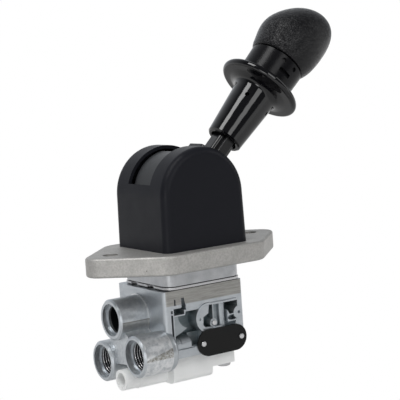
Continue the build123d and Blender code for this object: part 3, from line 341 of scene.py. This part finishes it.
# Painted shade: the cored pocket at the front is coloured dark grey; it is also a little rougher.
shaded_rough_pocket = where_all(tree, step_along(tree, "Y", core_start, core_floor),
                  step_along(tree, "Y", core_end + 1 * mm, core_end),
                  step_along(tree, "Z", core_top + 0.3 * mm, core_top),
                  step_along(tree, "X", core_side - 0.3 * mm, core_side))
tree.links.new(between(tree, shaded_rough_pocket, skin_colour, painted_pocket_shade), surface.inputs["Base Color"])
skin_gloss = spread(tree, skin, 0.3, 0.7, 0.32, 0.42)
rougher = combine(tree, "MULTIPLY", combine(tree, "ADD", machined, shaded_rough_pocket), 0.10)
tree.links.new(combine(tree, "ADD", skin_gloss, rougher), surface.inputs["Roughness"])
raise_surface(tree, surface, skin, 0.04 * mm)
show_smooth("valve_body", "housing", die_cast)

# Port threads: a single pointed ridge cut round each lower port, pitch 1.5 mm.
# They run from the counterbore inwards and are bright where the tap cut them.

thread_pitch = 1.5 * mm
thread_length = 13.5 * mm
thread_hole = 8.0 * mm
thread_tooth = 0.62 * mm
thread_sink = 0.22 * mm
port_mouth_x = -40.9 * mm
helix_steps = 40

cut_metal, tree, surface = start_finish("tapped_metal", (0.58, 0.58, 0.59), 0.22, 1.0)
raise_surface(tree, surface, cloud(tree, 0.4 * mm), 0.02 * mm)


def tree_input(group, name, kind, value):
    """A named input on a geometry tree, and the value it starts with."""
    socket = group.interface.new_socket(name, in_out="INPUT", socket_type=kind)
    if value is not None:
        socket.default_value = value
    return socket


def baked_piece(name, base, group, settings):
    """Runs a geometry tree on a mesh and keeps the result as a plain piece."""
    carrier = bpy.data.objects.new(name + "_base", base)
    scene.collection.objects.link(carrier)
    modifier = carrier.modifiers.new("shape", "NODES")
    modifier.node_group = group
    for socket, value in settings.items():
        modifier[socket.identifier] = value
    bpy.context.view_layer.update()
    shape = bpy.data.meshes.new_from_object(carrier.evaluated_get(bpy.context.evaluated_depsgraph_get()))
    bpy.data.objects.remove(carrier)
    shape.name = name
    piece = bpy.data.objects.new(name, shape)
    scene.collection.objects.link(piece)
    return piece


thread_tree = bpy.data.node_groups.new("port_thread", "GeometryNodeTree")
thread_tree.interface.new_socket("Geometry", in_out="INPUT", socket_type="NodeSocketGeometry")
turns_in = tree_input(thread_tree, "Turns", "NodeSocketFloat", thread_length / thread_pitch)
radius_in = tree_input(thread_tree, "Radius", "NodeSocketFloat", thread_hole - thread_sink)
length_in = tree_input(thread_tree, "Length", "NodeSocketFloat", thread_length)
tooth_in = tree_input(thread_tree, "Tooth", "NodeSocketFloat", thread_tooth)
metal_in = tree_input(thread_tree, "Metal", "NodeSocketMaterial", None)
thread_tree.interface.new_socket("Geometry", in_out="OUTPUT", socket_type="NodeSocketGeometry")
make = thread_tree.nodes.new
join = thread_tree.links.new
given = make("NodeGroupInput")
helix = make("GeometryNodeCurveSpiral")
helix.inputs["Resolution"].default_value = helix_steps
join(given.outputs["Turns"], helix.inputs["Rotations"])
join(given.outputs["Radius"], helix.inputs["Start Radius"])
join(given.outputs["Radius"], helix.inputs["End Radius"])
join(given.outputs["Length"], helix.inputs["Height"])
upright = make("GeometryNodeSetCurveNormal")
upright.mode = "Z_UP"
join(helix.outputs["Curve"], upright.inputs["Curve"])
tooth = make("GeometryNodeCurvePrimitiveCircle")
tooth.inputs["Resolution"].default_value = 3
join(given.outputs["Tooth"], tooth.inputs["Radius"])
ridge = make("GeometryNodeCurveToMesh")
ridge.inputs["Fill Caps"].default_value = True
join(upright.outputs["Curve"], ridge.inputs["Curve"])
join(tooth.outputs["Curve"], ridge.inputs["Profile Curve"])
at_ports = make("GeometryNodeInstanceOnPoints")
at_ports.inputs["Rotation"].default_value = (0, math.radians(90), 0)
join(given.outputs["Geometry"], at_ports.inputs["Points"])
join(ridge.outputs["Mesh"], at_ports.inputs["Instance"])
real = make("GeometryNodeRealizeInstances")
join(at_ports.outputs["Instances"], real.inputs["Geometry"])
coat = make("GeometryNodeSetMaterial")
join(real.outputs["Geometry"], coat.inputs["Geometry"])
join(given.outputs["Metal"], coat.inputs["Material"])
result = make("NodeGroupOutput")
join(coat.outputs["Geometry"], result.inputs["Geometry"])
port_points = bpy.data.meshes.new("port_points")
port_points.from_pydata([(port_mouth_x, y, z) for y, z in (front_port, rear_port)], [], [])
port_threads = baked_piece("port_threads", port_points, thread_tree,
                           {turns_in: thread_length / thread_pitch, radius_in: thread_hole - thread_sink,
                            length_in: thread_length, tooth_in: thread_tooth, metal_in: cut_metal})
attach(port_threads, "housing")

# Parts inside the body: brass seat and plug, turned piston, moulded seals and valve.
# None of them shows from outside; they carry the finish that such parts have.

turned_brass, tree, surface = start_finish("turned_brass", (0.62, 0.48, 0.22), 0.28, 1.0)
raise_surface(tree, surface, cloud(tree, 0.3 * mm, 2.0, 0.5, (1, 1, 20)), 0.02 * mm)
dress(["inlet_seat", "valve_retainer"], turned_brass)
turned_metal, tree, surface = start_finish("turned_aluminium", (0.60, 0.60, 0.61), 0.3, 1.0)
raise_surface(tree, surface, cloud(tree, 0.3 * mm, 2.0, 0.5, (1, 1, 20)), 0.02 * mm)
dress(["balance_piston"], turned_metal)
seal_rubber, tree, surface = start_finish("seal_rubber", (0.018, 0.018, 0.018), 0.6)
raise_surface(tree, surface, cloud(tree, 0.5 * mm), 0.04 * mm)
dress(["piston_seals", "inlet_valve"], seal_rubber)

# Silencer: blow-moulded natural polyamide, white, and light goes a little way into it.
# It is pushed over the exhaust boss and held by one screw through its ear.

natural_white, tree, surface = start_finish("natural_white_plastic", (0.84, 0.85, 0.84), 0.38)
surface.inputs["Subsurface Weight"].default_value = 0.2
surface.inputs["Subsurface Radius"].default_value = (2 * mm, 2 * mm, 2 * mm)
surface.inputs["Subsurface Scale"].default_value = 1.0
haze = spread(tree, cloud(tree, 10 * mm, 2.0), 0.35, 0.65, 0.0, 1.0)
white = between(tree, haze, (0.87, 0.88, 0.875), (0.92, 0.93, 0.925))
tree.links.new(white, surface.inputs["Base Color"])
raise_surface(tree, surface, cloud(tree, 1.5 * mm), 0.06 * mm)
show_smooth("exhaust_silencer", "housing", natural_white)

# Identification plate: blank black anodised aluminium, fixed by two domed rivets.
# The peened pin in the front pocket has the rivets' bright finish.

plate_black, tree, surface = start_finish("anodised_plate_black", (0.006, 0.006, 0.006), 0.42)
surface.inputs["Specular IOR Level"].default_value = 0.22
raise_surface(tree, surface, cloud(tree, 0.8 * mm), 0.03 * mm)
dress(["id_plate"], plate_black)
rivet_bright, tree, surface = start_finish("rivet_aluminium", (0.62, 0.62, 0.63), 0.3, 1.0)
raise_surface(tree, surface, cloud(tree, 0.5 * mm), 0.03 * mm)
dress(["id_rivets", "cavity_pin"], rivet_bright)

# Lever: forged steel, black coated and polished where it shows, with a ground cam on its shaft.
# The drum that closes the slot is moulded in satin black plastic.

lever_gloss, tree, surface = start_finish("polished_black", (0.004, 0.004, 0.005), 0.07)
smears = cloud(tree, 8 * mm, 3.0)
tree.links.new(spread(tree, smears, 0.3, 0.7, 0.05, 0.10), surface.inputs["Roughness"])
show_smooth("lever_arm", "lever", lever_gloss)
show_smooth("lock_collar", "collar", lever_gloss)
ground_steel, tree, surface = start_finish("ground_steel", (0.42, 0.42, 0.43), 0.25, 1.0)
raise_surface(tree, surface, cloud(tree, 0.3 * mm, 2.0, 0.5, (12, 1, 1)), 0.02 * mm)
dress(["cam", "cam_follower"], ground_steel)
shield_black, tree, surface = start_finish("shield_black", (0.010, 0.011, 0.013), 0.34)
surface.inputs["Specular IOR Level"].default_value = 0.4
raise_surface(tree, surface, cloud(tree, 0.6 * mm), 0.03 * mm)
show_smooth("drum_shield", "lever", shield_black)
slider_black, tree, surface = start_finish("blackened_steel", (0.012, 0.012, 0.013), 0.3, 0.3)
raise_surface(tree, surface, cloud(tree, 0.6 * mm), 0.03 * mm)
dress(["lock_slider"], slider_black)
spring_wire, tree, surface = start_finish("spring_wire", (0.33, 0.33, 0.34), 0.3, 1.0)
raise_surface(tree, surface, cloud(tree, 0.5 * mm), 0.03 * mm)
dress(["return_spring", "graduating_spring", "valve_spring", "shaft_clips"], spring_wire)

# Collar spring: coiled inside the sleeve between its step and the knob's neck, shown at rest.
# Its upper end stays against the neck; on the valve it is squeezed as the finger disc is pulled up, and
# here it gets a mesh of its own.

squeezed = show_smooth("collar_spring", "lever", spring_wire)
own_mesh(squeezed)

# Knob and its neck: moulded in soft black plastic on the lever's rod.
# The grip has a fine leather grain, and the neck is smooth.

grain_size = 0.9 * mm
grain_depth = 0.09 * mm
knob_crease = 60
neck_black, tree, surface = start_finish("neck_black", (0.005, 0.005, 0.006), 0.26)
surface.inputs["Specular IOR Level"].default_value = 0.16
raise_surface(tree, surface, cloud(tree, 0.6 * mm), 0.03 * mm)
show_smooth("knob_neck", "lever", neck_black)

grip_black, tree, surface = start_finish("leather_grain_black", (0.006, 0.006, 0.007), 0.22)
surface.inputs["Specular IOR Level"].default_value = 0.26
cells = tree.nodes.new("ShaderNodeTexVoronoi")
cells.feature = "DISTANCE_TO_EDGE"
cells.inputs["Scale"].default_value = 1 / grain_size
tree.links.new(place_coordinates(tree), cells.inputs["Vector"])
creases = spread(tree, cells.outputs["Distance"], 0.0, 0.22, 0.0, 1.0)
raise_surface(tree, surface, creases, grain_depth)
show_smooth("knob", "lever", grip_black, knob_crease)

# Camera: where the photograph was taken from, in front, to the left and a little above the valve.
# It has a long lens and is slightly rolled.

camera_place = Vector((-375.34, -586.34, 101.23)) * mm
lens_length = 114.92
sensor_width = 36.0
view_turn = math.radians(-33.556)
view_rise = math.radians(6.389)
view_roll = math.radians(3.918)
back = Vector((math.sin(view_turn) * math.cos(view_rise), -math.cos(view_turn) * math.cos(view_rise),
               math.sin(view_rise)))
level_right = Vector((math.cos(view_turn), math.sin(view_turn), 0))
level_up = back.cross(level_right)
right = math.cos(view_roll) * level_right - math.sin(view_roll) * level_up
up = math.sin(view_roll) * level_right + math.cos(view_roll) * level_up
camera_data = bpy.data.cameras.new("photo_camera")
camera_data.sensor_width = sensor_width
camera_data.lens = lens_length
camera_data.clip_start = 0.01
camera_data.clip_end = 50
camera = bpy.data.objects.new("photo_camera", camera_data)
camera.matrix_world = Matrix.Translation(camera_place) @ Matrix((right, up, back)).transposed().to_4x4()
scene.collection.objects.link(camera)
scene.camera = camera

# Studio: a white floor well below the valve, four soft boxes and a surround that is white behind
# the valve and dimmer on the near side, as a room is behind a camera.

floor_height = -0.30
floor_reach = 6
shadow_reach = 0.35
shadow_end = 0.70
mirror_reach = 0.60
mirror_end = 1.60
floor_fill = 0.40
floor_mesh = bpy.data.meshes.new("studio_floor")
floor_form = bmesh.new()
bmesh.ops.create_grid(floor_form, x_segments=1, y_segments=1, size=floor_reach)
bmesh.ops.translate(floor_form, verts=floor_form.verts, vec=(0, 0, floor_height))
floor_form.to_mesh(floor_mesh)
floor_form.free()
floor = bpy.data.objects.new("studio_floor", floor_mesh)
scene.collection.objects.link(floor)
floor_white, tree, surface = start_finish("studio_white", (0.72, 0.72, 0.72), 0.9)


def background_rays(tree):
    """1 for rays that should meet the white background, and 1 for the mirrored ones among them."""
    rays = tree.nodes.new("ShaderNodeLightPath")
    mirrored = combine(tree, "MAXIMUM", rays.outputs["Is Glossy Ray"], rays.outputs["Is Transmission Ray"])
    seen = combine(tree, "MAXIMUM", rays.outputs["Is Camera Ray"], mirrored)
    return seen, mirrored


def mix_shaders(tree, share, first, second):
    """One surface or light turning into another as share goes from 0 to 1."""
    node = tree.nodes.new("ShaderNodeMixShader")
    tree.links.new(share, node.inputs[0])
    tree.links.new(first, node.inputs[1])
    tree.links.new(second, node.inputs[2])
    return node.outputs[0]


glow = tree.nodes.new("ShaderNodeEmission")
fill = tree.nodes.new("ShaderNodeEmission")
fill.inputs["Strength"].default_value = floor_fill
shadowed = tree.nodes.new("ShaderNodeAddShader")
tree.links.new(surface.outputs[0], shadowed.inputs[0])
tree.links.new(fill.outputs[0], shadowed.inputs[1])
source = tree.nodes.new("ShaderNodeTexCoord")
distance = tree.nodes.new("ShaderNodeVectorMath")
distance.operation = "LENGTH"
tree.links.new(source.outputs["Object"], distance.inputs[0])
seen, mirrored = background_rays(tree)
away_direct = spread(tree, distance.outputs["Value"], shadow_reach, shadow_end, 0.0, 1.0)
away_mirrored = spread(tree, distance.outputs["Value"], mirror_reach, mirror_end, 0.0, 1.0)
direct_part = combine(tree, "MULTIPLY", away_direct, combine(tree, "SUBTRACT", 1.0, mirrored))
away = combine(tree, "ADD", direct_part, combine(tree, "MULTIPLY", away_mirrored, mirrored))
near_floor = mix_shaders(tree, mirrored, shadowed.outputs[0], surface.outputs[0])
seen_floor = mix_shaders(tree, away, near_floor, glow.outputs[0])
tree.links.new(mix_shaders(tree, seen, surface.outputs[0], seen_floor),
               tree.nodes["Material Output"].inputs["Surface"])
floor_mesh.materials.append(floor_white)


def soft_lamp(name, place, target, width, length, power, lengthwise=(0, 0, 1)):
    """A rectangular soft box aimed at a point, its long side turned along a direction."""
    data = bpy.data.lights.new(name, "AREA")
    data.shape = "RECTANGLE"
    data.size = width
    data.size_y = length
    data.energy = power
    away = (Vector(place) - Vector(target)).normalized()
    side = Vector(lengthwise).cross(away).normalized()
    lamp = bpy.data.objects.new(name, data)
    lamp.matrix_world = Matrix.Translation(Vector(place)) @ Matrix(
        (side, away.cross(side), away)).transposed().to_4x4()
    scene.collection.objects.link(lamp)
    return lamp


lever_middle = (0.044, 0, 0.066)
along_lever = (1, 0, 1)
soft_lamp("key_soft_box", (-0.58, -0.16, 1.13), lever_middle, 0.43, 0.95, 9.0, along_lever)
soft_lamp("front_strip", (-0.05, -1.15, 0.58), lever_middle, 0.48, 0.95, 4.2, along_lever)
soft_lamp("right_soft_box", (1.05, -0.45, 0.45), (0, 0, 0.02), 0.4, 0.8, 1.6)
soft_lamp("low_left_fill", (-1.15, -0.85, 0.12), (0, 0, -0.04), 0.5, 0.4, 2.5)

backdrop_direction = (0.10, 0.99, 0.0)
backdrop_side = 0.15
near_level = 0.10
far_level = 0.95
ambient_level = 0.32
world = bpy.data.worlds.new("studio_world")
scene.world = world
world.use_nodes = True
tree = world.node_tree
ambient = tree.nodes["Background"]
ambient.inputs["Color"].default_value = (1, 1, 1, 1)
ambient.inputs["Strength"].default_value = ambient_level
backdrop = tree.nodes.new("ShaderNodeBackground")
backdrop.inputs["Color"].default_value = (1, 1, 1, 1)
room = tree.nodes.new("ShaderNodeBackground")
room.inputs["Color"].default_value = (0.93, 0.96, 1, 1)
direction = tree.nodes.new("ShaderNodeTexCoord")
towards_backdrop = tree.nodes.new("ShaderNodeVectorMath")
towards_backdrop.operation = "DOT_PRODUCT"
towards_backdrop.inputs[1].default_value = backdrop_direction
tree.links.new(direction.outputs["Generated"], towards_backdrop.inputs[0])
room_level = spread(tree, towards_backdrop.outputs["Value"], backdrop_side, 1.0, near_level, far_level)
tree.links.new(room_level, room.inputs["Strength"])
seen, mirrored = background_rays(tree)
indirect = mix_shaders(tree, mirrored, ambient.outputs[0], room.outputs[0])
direct = combine(tree, "SUBTRACT", seen, mirrored)
tree.links.new(mix_shaders(tree, direct, indirect, backdrop.outputs[0]),
               tree.nodes["World Output"].inputs["Surface"])

scene.view_settings.view_transform = "Standard"
